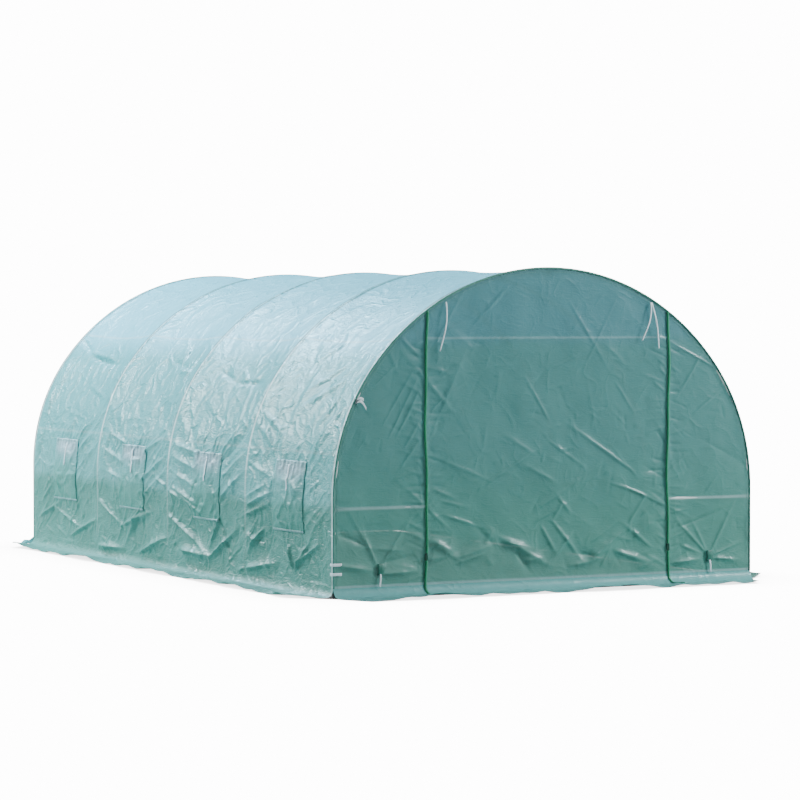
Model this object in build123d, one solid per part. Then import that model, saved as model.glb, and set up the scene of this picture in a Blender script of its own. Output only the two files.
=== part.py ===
"""Walk-in polytunnel greenhouse: steel hoops, rails and end posts under a sewn film cover.

X runs across the tunnel, Y along it with the zipped door at -Y, and Z up from the ground.
Every size is in millimetres.
"""

import os
from math import asin, cos, degrees, radians, sin

from build123d import *

# Overall sizes, measured over the cover
tunnel_width = 3000
tunnel_height = 2000
tunnel_length = 5000
bay_count = 4

# Arch outline, on the outer face of the cover: upright leg, haunch arc, flatter crown arc,
# with the angle above the top of the legs at which the haunch passes smoothly into the crown
leg_height = 600
haunch_angle = 36.87

# Steel tubes and the fittings that join them
tube_diameter = 25
tube_wall = 1.2
fitting_length = 120
stub_length = 60
stub_diameter = 24
end_stub_diameter = 23
spigot_length = 40
spigot_clearance = 0.2
joint_gap = 0.3

# Cover film, and the height of the seam where the wall panels end, above the windows
cover_thickness = 2
cover_gap = 0.3
wall_seam_rise = 180

# Ground skirt: the film turns outwards at the foot of the walls and lies on the ground
skirt_width = 230
skirt_bend_radius = 60

# Zipped door in the front end
door_width = 1740
zip_width = 30
zip_proud = 2
slider_length = 45
slider_width = 18
slider_thickness = 8
slider_height = 210
slider_corner_radius = 6

# Side windows: an insect net in the wall under a flap sewn along its top edge
window_width = 380
window_height = 380
window_sill = 400
flap_margin = 30
flap_thickness = 2
flap_hem = 14
flap_hem_thickness = 5

# White tie tapes and the green anchor tabs
tape_width = 14
tape_thickness = 1.5
door_tape_length = 270
window_tape_length = 130
door_tape_x_share = 0.78
door_tape_spread = 60
tab_width = 45
tab_height = 60
tab_thickness = 3
tab_corner_radius = 7.5
tab_z = 140

# Length that every cutting shape runs past what it cuts
overrun = 50

# Outline worked out from the sizes above
half_width = tunnel_width / 2
half_length = tunnel_length / 2
half_door = door_width / 2
rise = tunnel_height - leg_height
haunch_cos = cos(radians(haunch_angle))
haunch_sin = sin(radians(haunch_angle))
centre_distance = (half_width - rise) / (haunch_sin + haunch_cos - 1)
haunch_radius = half_width - centre_distance * haunch_cos
crown_radius = rise + centre_distance * haunch_sin
haunch_x = half_width - haunch_radius
crown_z = tunnel_height - crown_radius
wall_seam_z = window_sill + window_height + wall_seam_rise
wall_seam_angle = degrees(asin((wall_seam_z - leg_height) / haunch_radius))
tube_radius = tube_diameter / 2
bore_radius = tube_radius - tube_wall
hoop_inset = cover_thickness + cover_gap + tube_radius
hoop_x = half_width - hoop_inset
ridge_z = tunnel_height - hoop_inset
ridge_rail_z = ridge_z - tube_diameter - joint_gap
end_hoop_y = half_length - hoop_inset
bay_length = 2 * end_hoop_y / bay_count
hoop_places = [-end_hoop_y + bay_length * number for number in range(bay_count + 1)]
side_rail_z = leg_height - fitting_length / 2
base_rail_z = fitting_length / 2
cover_foot_z = skirt_bend_radius + cover_thickness
hoop_names = ["front_hoop", *[f"hoop_{number}" for number in range(2, bay_count + 1)], "back_hoop"]


def arch_point(inset, angle, y=0):
    """Point on the right half of the arch, that far inside the cover's outer face."""
    if angle <= haunch_angle:
        centre_x, centre_z, radius = haunch_x, leg_height, haunch_radius - inset
    else:
        centre_x, centre_z, radius = 0, crown_z, crown_radius - inset
    turn = radians(angle)
    return Vector(centre_x + radius * cos(turn), y, centre_z + radius * sin(turn))


def arch_edges(inset, start, end, y=0):
    """Arcs along the right half of the arch between two angles, one for each radius passed."""
    stops = [start, end]
    if start < haunch_angle < end:
        stops = [start, haunch_angle, end]
    arcs = []
    for low, high in zip(stops, stops[1:]):
        middle = (low + high) / 2
        ends = [arch_point(inset, low, y), arch_point(inset, middle, y), arch_point(inset, high, y)]
        arcs.append(ThreePointArc(*ends))
    return arcs


def mirrored(shape):
    """The same piece on the tunnel's other long side."""
    return mirror(shape, Plane.YZ)


def turned_to_back(shape):
    """The same piece at the tunnel's other end."""
    return mirror(shape, Plane.XZ)


def box_between(low, high):
    """Box from its lowest to its highest corner."""
    low, high = Vector(*low), Vector(*high)
    size = high - low
    return Pos((low + high) / 2) * Box(size.X, size.Y, size.Z)


def rod(start, end, radius):
    """Straight round bar between two points."""
    start, end = Vector(*start), Vector(*end)
    run = end - start
    return Solid.make_cylinder(radius, run.length, Plane(origin=start, z_dir=run))


def tube(start, end):
    """Straight hollow tube between two points."""
    run = (Vector(*end) - Vector(*start)).normalized() * overrun
    return rod(start, end, tube_radius) - rod(Vector(*start) - run, Vector(*end) + run, bore_radius)


def arch_rod(y, start, end, radius):
    """Round bar bent along a hoop's centreline, on the right half."""
    path = Wire(arch_edges(hoop_inset, start, end, y))
    section = Plane(origin=path @ 0, z_dir=path % 0) * Circle(radius)
    return sweep(section, path)


def arch_tube(y, start, end):
    """Hollow tube bent along a hoop's centreline, on the right half."""
    return arch_rod(y, start, end, tube_radius) - arch_rod(y, start, end, bore_radius)


def spigot(start, end):
    """Plug of a fitting that slides into the tube beside it."""
    return rod(start, end, bore_radius - spigot_clearance)


def arch_turn(length, radius):
    """Angle in degrees that a length takes up on the hoop's centreline."""
    return degrees(length / (radius - hoop_inset))


# Hoops: upright legs below, and bent halves from the side fittings to the ridge fittings
ridge_fitting_turn = arch_turn(fitting_length / 2, crown_radius)


def hoop_leg(y):
    """Right leg of one hoop, between its foot fitting and its side fitting."""
    return tube((hoop_x, y, fitting_length), (hoop_x, y, leg_height - fitting_length))


def hoop_half(y):
    """Right half of one hoop's bend, from its side fitting to its ridge fitting."""
    return arch_tube(y, 0, 90 - ridge_fitting_turn)


# Fittings: short pieces of the hoop with stubs for the rails, and spigots into every tube
def stub(centre, direction):
    """Stub of a fitting with its spigot, a little thinner than the tube and thinner still across."""
    centre, direction = Vector(*centre), Vector(*direction)
    mouth = centre + direction * stub_length
    diameter = end_stub_diameter if direction.X else stub_diameter
    return rod(centre, mouth, diameter / 2) + spigot(mouth, mouth + direction * spigot_length)


def stub_directions(y, across):
    """Ways that a fitting's rails leave it: along the tunnel, and across it at the ends."""
    ways = []
    if y != hoop_places[0]:
        ways.append((0, -1, 0))
    if y != hoop_places[-1]:
        ways.append((0, 1, 0))
    if across and len(ways) == 1:
        ways.append((-1, 0, 0))
    return ways


def with_stubs(body, centre, ways):
    """A fitting's body joined with its stubs."""
    for way in ways:
        body = body + stub(centre, way)
    return body


def foot_fitting(y):
    """Right foot of one hoop, with stubs for the base rails."""
    body = rod((hoop_x, y, 0), (hoop_x, y, fitting_length), tube_radius)
    body = body + spigot((hoop_x, y, fitting_length), (hoop_x, y, fitting_length + spigot_length))
    return with_stubs(body, (hoop_x, y, base_rail_z), stub_directions(y, True))


def side_fitting(y):
    """Right fitting between one hoop's leg and bend, with stubs for the side rails."""
    foot = leg_height - fitting_length
    body = rod((hoop_x, y, foot), (hoop_x, y, leg_height), tube_radius)
    body = body + spigot((hoop_x, y, foot - spigot_length), (hoop_x, y, foot))
    upper_turn = arch_turn(spigot_length, haunch_radius)
    body = body + arch_rod(y, 0, upper_turn, bore_radius - spigot_clearance)
    return with_stubs(body, (hoop_x, y, side_rail_z), stub_directions(y, True))


def crown_rod(y, turn, radius):
    """Round bar bent along the top of a hoop, reaching one angle to each side of the ridge."""
    right = arch_point(hoop_inset, 90 - turn, y)
    path = ThreePointArc(Vector(-right.X, y, right.Z), Vector(0, y, ridge_z), right)
    section = Plane(origin=path @ 0, z_dir=path % 0) * Circle(radius)
    return sweep(section, path)


def ridge_fitting(y):
    """Fitting at the top of one hoop, with a hanger and stubs for the ridge rails below it."""
    spigot_turn = ridge_fitting_turn + arch_turn(spigot_length, crown_radius)
    plugs = crown_rod(y, spigot_turn, bore_radius - spigot_clearance)
    body = crown_rod(y, ridge_fitting_turn, tube_radius) + plugs
    hanger = rod((0, y, ridge_z), (0, y, ridge_rail_z), end_stub_diameter / 2)
    return with_stubs(body + hanger, (0, y, ridge_rail_z), stub_directions(y, False))


# Rails along the tunnel, one tube in each bay
def bay_rails(x, z):
    """Rails of one line, between the stubs of neighbouring fittings."""
    rails = []
    for y in hoop_places[:-1]:
        rails.append(tube((x, y + stub_length, z), (x, y + bay_length - stub_length, z)))
    return rails


# End frames: base rail, two posts behind the door's edges and two short bars beside them
def end_base_rail():
    """Front base rail, between the feet of the front hoop."""
    reach = hoop_x - stub_length
    return tube((-reach, -end_hoop_y, base_rail_z), (reach, -end_hoop_y, base_rail_z))


def end_post():
    """Right front post, cut to sit on the base rail and up against the hoop."""
    top = (half_door, -end_hoop_y, tunnel_height)
    post = tube((half_door, -end_hoop_y, base_rail_z), top)
    hoop_clear = arch_rod(-end_hoop_y, 0, 90, tube_radius + joint_gap)
    rail_start = (half_door - tube_diameter, -end_hoop_y, base_rail_z)
    rail_end = (half_door + tube_diameter, -end_hoop_y, base_rail_z)
    post = post - hoop_clear - rod(rail_start, rail_end, tube_radius + joint_gap)
    return post.solids().sort_by(SortBy.VOLUME)[-1]


def end_side_bar():
    """Right front bar between the hoop's side fitting and the post."""
    bar = tube((half_door, -end_hoop_y, side_rail_z), (hoop_x - stub_length, -end_hoop_y, side_rail_z))
    post_foot = (half_door, -end_hoop_y, side_rail_z - tube_diameter)
    post_top = (half_door, -end_hoop_y, side_rail_z + tube_diameter)
    bar = bar - rod(post_foot, post_top, tube_radius + joint_gap)
    return bar.solids().sort_by(SortBy.VOLUME)[-1]


# Cover: film panels over the hoops, sewn edge to edge
def film_strip(outer_inset, inner_inset, start, end, foot=None, low_y=0, high_y=0):
    """Strip of sheet along the right half of the arch, from a foot height or an angle up."""
    outer = arch_edges(outer_inset, start, end, low_y)
    inner = arch_edges(inner_inset, start, end, low_y)
    edges = [*outer, *inner]
    edges.append(Line(arch_point(outer_inset, end, low_y), arch_point(inner_inset, end, low_y)))
    outer_start = arch_point(outer_inset, start, low_y)
    inner_start = arch_point(inner_inset, start, low_y)
    if foot is not None:
        outer_foot = Vector(outer_start.X, low_y, foot)
        inner_foot = Vector(inner_start.X, low_y, foot)
        edges += [Line(outer_start, outer_foot), Line(inner_start, inner_foot)]
        outer_start, inner_start = outer_foot, inner_foot
    edges.append(Line(outer_start, inner_start))
    return extrude(make_face(edges), amount=high_y - low_y, dir=(0, 1, 0))


window_places = [(low + high) / 2 for low, high in zip(hoop_places, hoop_places[1:])]
cover_low_y = -half_length + cover_thickness
cover_high_y = half_length - cover_thickness


def window_box(y, margin):
    """Block that cuts one right-hand window, or its flap, out of a sheet."""
    reach = window_width / 2 + margin
    low = (0, y - reach, window_sill - margin)
    high = (half_width + overrun, y + reach, window_sill + window_height + margin)
    return box_between(low, high)


def whole_wall():
    """Right wall panel before its windows are cut."""
    return film_strip(0, cover_thickness, 0, wall_seam_angle, cover_foot_z, cover_low_y, cover_high_y)


def wall_cover():
    """Right wall panel, open at each window."""
    wall = whole_wall()
    for y in window_places:
        wall = wall - window_box(y, 0)
    return wall


def window_nets():
    """Nets that fill the right-hand windows."""
    wall = whole_wall()
    return [(wall & window_box(y, 0)).solid() for y in window_places]


def outer_sheet(gap, thickness):
    """Sheet that far outside the right wall, from which flaps and tapes are cut."""
    span = (cover_foot_z, cover_low_y, cover_high_y)
    return film_strip(-gap - thickness, -gap, 0, wall_seam_angle, *span)


def window_flaps():
    """Right-hand flaps, hanging closed over their windows, each with a thick bottom hem."""
    sheet = outer_sheet(joint_gap, flap_thickness)
    hem_sheet = outer_sheet(joint_gap, flap_hem_thickness)
    flaps = []
    for y in window_places:
        reach = window_width / 2 + flap_margin
        foot = window_sill - flap_margin
        hem_low = (0, y - reach, foot)
        hem_high = (half_width + overrun, y + reach, foot + flap_hem)
        flap = (sheet & window_box(y, flap_margin)) + (hem_sheet & box_between(hem_low, hem_high))
        flaps.append(flap.solid())
    return flaps


def window_tapes():
    """Tapes that hang from the top seam of the right-hand flaps."""
    sheet = outer_sheet(joint_gap + flap_thickness + joint_gap, tape_thickness)
    top = window_sill + window_height
    tapes = []
    for y in window_places:
        low = (0, y - tape_width / 2, top - window_tape_length)
        high = (half_width + overrun, y + tape_width / 2, top)
        tapes.append((sheet & box_between(low, high)).solid())
    return tapes


# Ends: a flat panel closes each end, and the front one is parted by two zips
def end_outline(y):
    """Face of a whole end panel, from the foot of the cover up."""
    right = arch_edges(0, 0, 90, y)
    left = [mirrored(arc) for arc in right]
    foot_right = Vector(half_width, y, cover_foot_z)
    foot_left = Vector(-half_width, y, cover_foot_z)
    legs = [
        Line(foot_right, Vector(half_width, y, leg_height)),
        Line(foot_left, Vector(-half_width, y, leg_height)),
    ]
    return make_face([*right, *left, *legs, Line(foot_left, foot_right)])


def end_slab(thickness, proud=0):
    """Front end panel as one slab, standing proud of the cover's end by some amount."""
    return extrude(end_outline(-half_length - proud), amount=thickness + proud, dir=(0, 1, 0))


def end_strip(low_x, high_x, thickness, proud=0):
    """Part of the front end panel between two places across the tunnel."""
    low = (low_x, -half_length - proud - overrun, 0)
    high = (high_x, -half_length + thickness + overrun, tunnel_height + overrun)
    return (end_slab(thickness, proud) & box_between(low, high)).solid()


zip_inner = half_door - zip_width / 2
zip_outer = half_door + zip_width / 2


def front_zip():
    """Right zip, from the foot of the cover up to the arch."""
    return end_strip(zip_inner, zip_outer, cover_thickness, zip_proud)


def zip_slider():
    """Right zip's slider, riding on the face of the zip."""
    face_y = -half_length - zip_proud
    low = (half_door - slider_width / 2, face_y - slider_thickness, slider_height)
    high = (half_door + slider_width / 2, face_y, slider_height + slider_length)
    block = box_between(low, high)
    return fillet(block.edges().filter_by(Axis.Y), slider_corner_radius)


def arch_height(x, inset):
    """Height of the arch above the ground at a place across the tunnel."""
    if abs(x) > haunch_x + (haunch_radius - inset) * cos(radians(haunch_angle)):
        return leg_height + ((haunch_radius - inset) ** 2 - (abs(x) - haunch_x) ** 2) ** 0.5
    return crown_z + ((crown_radius - inset) ** 2 - x**2) ** 0.5


def door_tape(x):
    """Tape that hangs down the front from the arch, to tie the rolled door."""
    top = arch_height(abs(x) + tape_width, hoop_inset)
    low = (x - tape_width / 2, -half_length - joint_gap - tape_thickness, top - door_tape_length)
    high = (x + tape_width / 2, -half_length - joint_gap, top)
    return box_between(low, high)


def anchor_tab():
    """Right front tab that is tied down to the base rail."""
    x = (half_door + half_width) / 2
    low = (x - tab_width / 2, -half_length - tab_thickness, tab_z)
    high = (x + tab_width / 2, -half_length, tab_z + tab_height)
    tape_low = (x - tape_width / 2, -half_length - tape_thickness, cover_foot_z)
    tape_high = (x + tape_width / 2, -half_length, tab_z)
    tab = fillet(box_between(low, high).edges().filter_by(Axis.Y), tab_corner_radius)
    return tab + box_between(tape_low, tape_high)


# Skirt: the foot of the film, bent outwards onto the ground and mitred at the corners
def skirt_profile(half_span):
    """Bent strip beyond one wall, as a face that crosses the wall at the tunnel's middle."""
    centre_x = half_span + skirt_bend_radius
    edge_x = half_span + skirt_width
    turn = radians(225)

    def bend(radius):
        middle = Vector(centre_x + radius * cos(turn), 0, cover_foot_z + radius * sin(turn))
        ends = [Vector(centre_x - radius, 0, cover_foot_z), Vector(centre_x, 0, cover_foot_z - radius)]
        return ThreePointArc(ends[0], middle, ends[1])

    upper = bend(skirt_bend_radius)
    lower = bend(skirt_bend_radius + cover_thickness)
    lines = [
        Line(upper @ 0, lower @ 0),
        Line(upper @ 1, Vector(edge_x, 0, cover_thickness)),
        Line(lower @ 1, Vector(edge_x, 0, 0)),
        Line(Vector(edge_x, 0, cover_thickness), Vector(edge_x, 0, 0)),
    ]
    return make_face([upper, lower, *lines])


def skirt(half_span, half_run):
    """Skirt along +X beyond a wall that far out, mitred so that neighbours leave a notch."""
    strip = extrude(skirt_profile(half_span), amount=half_run, dir=(0, 1, 0), both=True)
    inner_x = half_span - cover_thickness - overrun
    outer_x = half_span + skirt_width
    inner_run = half_run + cover_thickness + overrun
    outer_run = half_run - skirt_width
    corners = [(inner_x, -inner_run), (outer_x, -outer_run), (outer_x, outer_run), (inner_x, inner_run)]
    blank = extrude(make_face(Polyline(*corners, close=True)), amount=cover_foot_z + overrun)
    return strip & Pos(0, 0, -overrun / 2) * blank


def side_skirt():
    """Right ground skirt."""
    return skirt(half_width, half_length - cover_thickness).solid()


def end_skirt():
    """Front ground skirt."""
    return (Rot(0, 0, -90) * skirt(half_length, half_width)).solid()


def both_sides(shape):
    """A right-hand piece and its twin on the left."""
    return [mirrored(shape), shape]


def on_each_hoop(make):
    """One right-hand piece at every hoop."""
    return [make(y) for y in hoop_places]


def mirrored_all(shapes):
    """Every piece of a set, on the other long side."""
    return [mirrored(shape) for shape in shapes]


def mirrored_pairs(shapes):
    """Every piece of a set, on both long sides."""
    return [*shapes, *mirrored_all(shapes)]


def frame_nodes():
    """Steel frame: hoops, fittings, rails and end frames."""
    nodes = {}
    for name, y in zip(hoop_names, hoop_places):
        nodes[f"{name}_legs"] = both_sides(hoop_leg(y))
        nodes[f"{name}_arch"] = both_sides(hoop_half(y))
    nodes["ridge_fittings"] = on_each_hoop(ridge_fitting)
    nodes["side_fittings"] = mirrored_pairs(on_each_hoop(side_fitting))
    nodes["foot_fittings"] = mirrored_pairs(on_each_hoop(foot_fitting))
    nodes["ridge_rails"] = bay_rails(0, ridge_rail_z)
    nodes["side_rails"] = mirrored_pairs(bay_rails(hoop_x, side_rail_z))
    nodes["base_rails"] = mirrored_pairs(bay_rails(hoop_x, base_rail_z))
    nodes["end_base_rails"] = [end_base_rail(), turned_to_back(end_base_rail())]
    nodes["front_door_posts"] = both_sides(end_post())
    nodes["back_end_posts"] = both_sides(turned_to_back(end_post()))
    nodes["end_side_bars"] = both_sides(end_side_bar()) + both_sides(turned_to_back(end_side_bar()))
    return nodes


def cover_nodes():
    """Film cover: walls, roof, ends, windows, zips, tapes and ground skirts."""
    nodes = {}
    nodes["right_wall_cover"] = [wall_cover()]
    nodes["left_wall_cover"] = [mirrored(wall_cover())]
    haunch = film_strip(0, cover_thickness, wall_seam_angle, haunch_angle, None, cover_low_y, cover_high_y)
    crown = film_strip(0, cover_thickness, haunch_angle, 90, None, cover_low_y, cover_high_y)
    nodes["right_haunch_cover"] = [haunch]
    nodes["left_haunch_cover"] = [mirrored(haunch)]
    nodes["right_roof_cover"] = [crown]
    nodes["left_roof_cover"] = [mirrored(crown)]
    nodes["front_right_panel"] = [end_strip(zip_outer, half_width, cover_thickness)]
    nodes["front_left_panel"] = [mirrored(nodes["front_right_panel"][0])]
    nodes["front_door_panel"] = [end_strip(-zip_inner, zip_inner, cover_thickness)]
    nodes["front_zips"] = both_sides(front_zip())
    nodes["zip_sliders"] = both_sides(zip_slider())
    nodes["front_anchor_tabs"] = both_sides(anchor_tab())
    nodes["back_panel"] = [turned_to_back(end_slab(cover_thickness))]
    nodes["right_window_nets"] = window_nets()
    nodes["left_window_nets"] = mirrored_all(nodes["right_window_nets"])
    nodes["right_window_flaps"] = window_flaps()
    nodes["left_window_flaps"] = mirrored_all(nodes["right_window_flaps"])
    nodes["right_window_tapes"] = window_tapes()
    nodes["left_window_tapes"] = mirrored_all(nodes["right_window_tapes"])
    tape_x = half_door * door_tape_x_share
    nodes["door_tapes"] = [door_tape(x) for x in (-tape_x, tape_x, tape_x + door_tape_spread)]
    nodes["right_skirt"] = [side_skirt()]
    nodes["left_skirt"] = [mirrored(side_skirt())]
    nodes["front_skirt"] = [end_skirt()]
    nodes["back_skirt"] = [turned_to_back(end_skirt())]
    return nodes


def main():
    """Write one file for each named piece."""
    os.makedirs("parts", exist_ok=True)
    for name, shapes in {**frame_nodes(), **cover_nodes()}.items():
        solids = [solid for shape in shapes for solid in shape.solids()]
        export_step(Compound(children=solids), f"parts/{name}.step")
        print(name, len(solids))


main()
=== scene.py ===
# %% [markdown]
# A walk-in film tunnel is a frame of bent steel hoops under one large sewn cover. The frame below is
# the finished steelwork and stays as it is. This lesson makes the cover: thin woven film that hangs
# in folds between the hoops, with zips, windows, tapes and a skirt on the ground.

# %% The frame and its sizes
import math

import bmesh
import bpy
import numpy as np
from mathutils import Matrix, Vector


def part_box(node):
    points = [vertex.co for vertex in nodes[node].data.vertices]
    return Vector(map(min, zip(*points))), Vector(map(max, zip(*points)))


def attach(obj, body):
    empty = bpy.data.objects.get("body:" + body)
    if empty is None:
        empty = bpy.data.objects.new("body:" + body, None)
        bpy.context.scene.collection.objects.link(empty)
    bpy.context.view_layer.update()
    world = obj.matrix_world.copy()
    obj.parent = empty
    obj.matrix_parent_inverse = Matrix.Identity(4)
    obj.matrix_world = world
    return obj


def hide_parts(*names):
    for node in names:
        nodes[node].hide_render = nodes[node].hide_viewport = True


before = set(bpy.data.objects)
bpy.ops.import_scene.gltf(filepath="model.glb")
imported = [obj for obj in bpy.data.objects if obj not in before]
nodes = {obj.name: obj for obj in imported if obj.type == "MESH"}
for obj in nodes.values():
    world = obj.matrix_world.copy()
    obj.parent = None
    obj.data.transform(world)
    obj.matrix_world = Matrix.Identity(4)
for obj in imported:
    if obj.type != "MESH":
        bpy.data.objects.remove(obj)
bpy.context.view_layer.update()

hoop_names = ["front_hoop", "hoop_2", "hoop_3", "hoop_4", "back_hoop"]
hoop_boxes = [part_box(f"{name}_arch") for name in hoop_names]
hoop_ys = np.array([(low.y + high.y) / 2 for low, high in hoop_boxes])
half_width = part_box("right_wall_cover")[1].x
half_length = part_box("back_panel")[1].y
ridge_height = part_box("right_roof_cover")[1].z
leg_height = hoop_boxes[0][0].z
foot_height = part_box("right_wall_cover")[0].z
skirt_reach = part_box("right_skirt")[1].x - half_width
rail_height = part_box("side_rails")[0].z
zip_x = (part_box("zip_sliders")[1].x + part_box("front_right_panel")[0].x - 0.024) / 2
window_low, window_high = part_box("left_window_nets")
flap_low, flap_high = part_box("left_window_flaps")
print("tunnel", half_width * 2, half_length * 2, ridge_height, "zip at", round(zip_x, 3))

# %% [markdown]
# The camera stands low, to the left of the door, with a long lens, so the side runs back in a
# gentle slope. It comes first, because every later step is judged through it. Its place was worked
# out by matching the hoops' outlines.

# %% Camera
camera_place = (-9.743, -19.082, 1.710)
camera_turn = math.radians(27.67)
camera_tip = math.radians(1.589)
camera_focal_px = 3092.7
image_px = 800
sensor_mm = 36


def new_piece(name, data):
    """Object for a mesh, curve, light or camera, linked into the scene."""
    piece = bpy.data.objects.new(name, data)
    bpy.context.scene.collection.objects.link(piece)
    return piece


lens = bpy.data.cameras.new("photo_camera")
lens.sensor_width = sensor_mm
lens.lens = camera_focal_px / image_px * sensor_mm
camera = new_piece("photo_camera", lens)
camera.location = camera_place
camera.rotation_euler = (math.pi / 2 - camera_tip, 0, -camera_turn)
bpy.context.scene.camera = camera
print("lens", round(lens.lens, 1), "mm")

# %% [markdown]
# Light is what makes film look like film. Two panels stand high behind the tunnel, so their shine runs
# over the roof and down the long side. A third stands in front, to the right, and shows the folds of
# the door end. The floor is plain and pale, with a painted soft shade round the tunnel and painted
# shade on the ground under it.

# %% Floor and lights
backdrop_strength = 14.0
floor_half = 60.0
floor_margin = 0.06
corner_cut = 0.12


def linear(code):
    """Linear colour for a sRGB hex code."""
    parts = [int(code[place : place + 2], 16) / 255 for place in (1, 3, 5)]
    return [p / 12.92 if p <= 0.04045 else ((p + 0.055) / 1.055) ** 2.4 for p in parts] + [1]


def set_inputs(tree, node, inputs):
    """Sets or links a node's inputs."""
    for key, value in inputs.items():
        if isinstance(value, bpy.types.NodeSocket):
            tree.links.new(value, node.inputs[key])
        else:
            node.inputs[key].default_value = value


def add_node(tree, kind, inputs=None, **settings):
    """Adds a node with its settings and inputs."""
    made = tree.nodes.new(kind)
    for name, value in settings.items():
        setattr(made, name, value)
    set_inputs(tree, made, inputs or {})
    return made


def blend(tree, factor, first, second):
    """Colour between two others."""
    mixed = add_node(tree, "ShaderNodeMix", {"Factor": factor, 6: first, 7: second}, data_type="RGBA")
    return mixed.outputs[2]


def ranged(tree, value, low, high, start=0, end=1):
    """Value carried from one range to another."""
    limits = {"From Min": start, "From Max": end, "To Min": low, "To Max": high}
    return add_node(tree, "ShaderNodeMapRange", {"Value": value, **limits}).outputs[0]


def mix_to(tree, output, share, first, second):
    """Links a mix of two shaders to an output."""
    both = add_node(tree, "ShaderNodeMixShader", {0: share, 1: first.outputs[0], 2: second.outputs[0]})
    tree.links.new(both.outputs[0], tree.nodes[output].inputs["Surface"])


def split_by_ray(tree, output, lighting, seen):
    """Links two shaders to an output: one that lights the scene and one that shows in the picture."""
    camera_ray = add_node(tree, "ShaderNodeLightPath").outputs["Is Camera Ray"]
    mix_to(tree, output, camera_ray, lighting, seen)


def light_panel(name, place, aim, size, power, colour):
    """Square soft light that faces a point."""
    lamp = bpy.data.lights.new(name, "AREA")
    lamp.shape = "SQUARE"
    lamp.size = size
    lamp.energy = power
    lamp.color = linear(colour)[:3]
    panel = new_piece(name, lamp)
    panel.location = place
    panel.rotation_euler = (Vector(aim) - Vector(place)).to_track_quat("-Z", "Y").to_euler()


light_panel("roof_panel", (-2.5, 8.0, 8.8), (0, 0, 1.2), 2.8, 3050, "#B4E4FA")
light_panel("side_panel", (-8.2, 9.8, 6.9), (-1.5, 0, 0.8), 2.0, 2750, "#DAF3F6")
light_panel("door_panel_light", (8.5, -7.0, 6.5), (0, -2.5, 0.7), 2.0, 1950, "#EAF5F8")

white = linear("#FFFFFF")
world = bpy.data.worlds.new("studio")
world.use_nodes = True
sky = world.node_tree
sky_place = add_node(sky, "ShaderNodeTexCoord")
sky_height = add_node(sky, "ShaderNodeSeparateXYZ", {"Vector": sky_place.outputs["Generated"]})
sky_rise = ranged(sky, sky_height.outputs["Z"], 0, 1, 0.05, 0.7)
sky_colour = blend(sky, sky_rise, linear("#8FA39B"), linear("#E9F4FB"))
sky_light = add_node(sky, "ShaderNodeBackground", {"Color": sky_colour, "Strength": 0.5})
backdrop = add_node(sky, "ShaderNodeBackground", {"Color": white, "Strength": backdrop_strength})
split_by_ray(sky, "World Output", sky_light, backdrop)
bpy.context.scene.world = world


def floor_material(name, brightness):
    """Matt pale floor that shows as bright as it is told to, with a soft shade at the object."""
    made = bpy.data.materials.new(name)
    made.use_nodes = True
    tree = made.node_tree
    matt = add_node(tree, "ShaderNodeBsdfDiffuse", {"Color": linear("#AEB8B2")})
    shade = add_node(tree, "ShaderNodeAmbientOcclusion", {"Distance": 0.6}, samples=8)
    level = ranged(tree, shade.outputs["AO"], brightness * 0.2, brightness)
    bright = add_node(tree, "ShaderNodeEmission", {"Color": white, "Strength": level})
    split_by_ray(tree, "Material Output", matt, bright)
    return made


inner_x, inner_y = half_width + floor_margin, half_length + floor_margin
inner_corners, outer_corners = [], []
for way_x, way_y in ((-1, -1), (1, -1), (1, 1), (-1, 1)):
    on_side = (way_x * inner_x, way_y * (inner_y - corner_cut))
    on_end = (way_x * (inner_x - corner_cut), way_y * inner_y)
    inner_corners += [on_side, on_end] if way_x * way_y > 0 else [on_end, on_side]
    outer_corners.append((way_x * floor_half, way_y * floor_half))
# The sheet under the tunnel shows dark: painted shade on the ground inside. Round the tunnel both sheets
# darken by ambient occlusion, a painted soft shade.
for name, corners, level, brightness in (
    ("matt_white_floor", outer_corners, 0, backdrop_strength),
    ("painted_shade_floor_under_tunnel", inner_corners, 0.0003, 0.25),
):
    floor_data = bpy.data.meshes.new(name)
    floor_data.from_pydata([(*corner, level) for corner in corners], [], [tuple(range(len(corners)))])
    floor_data.materials.append(floor_material(name, brightness))
    floor = new_piece(name, floor_data)
    print(name, len(corners), "corners")

# %% [markdown]
# The cover is woven polyethylene tape between two layers of clear film, dyed green. That gives the
# eye three things: a soft gloss, a glow where light comes through from the other side, and a fine
# square weave. Its colour is painted by height: darker and greener near the ground, as painted shade
# where less sky light reaches it, and paler and bluer up the roof, as painted sky light. The door end
# is painted darker all over, as painted shade. Where the film lies on a tube it looks paler, and beside
# a tube it is painted darker, as painted shade, so the mesh carries a value for each.

# %% Film
weave_period = 0.012
crumple_size = 0.16
crinkle_size = 0.042
cloud_size = 0.55
wave_constant = 2 * math.pi / 20
groove_shade_green = "#2F6A66"


def noise(tree, place, size, ridged=False, **inputs):
    """Noise with features of one size in metres."""
    kind = "RIDGED_MULTIFRACTAL" if ridged else "FBM"
    made = add_node(
        tree, "ShaderNodeTexNoise", {"Vector": place, "Scale": 1 / size, **inputs}, noise_type=kind
    )
    return made.outputs["Fac"]


def threads(tree, place, period, direction):
    """Parallel threads with one period in metres."""
    inputs = {"Vector": place, "Scale": wave_constant / period}
    return add_node(tree, "ShaderNodeTexWave", inputs, bands_direction=direction).outputs["Fac"]


def combine(tree, operation, *values):
    """Result of one sum on its values."""
    return add_node(tree, "ShaderNodeMath", dict(enumerate(values)), operation=operation).outputs[0]


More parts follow.
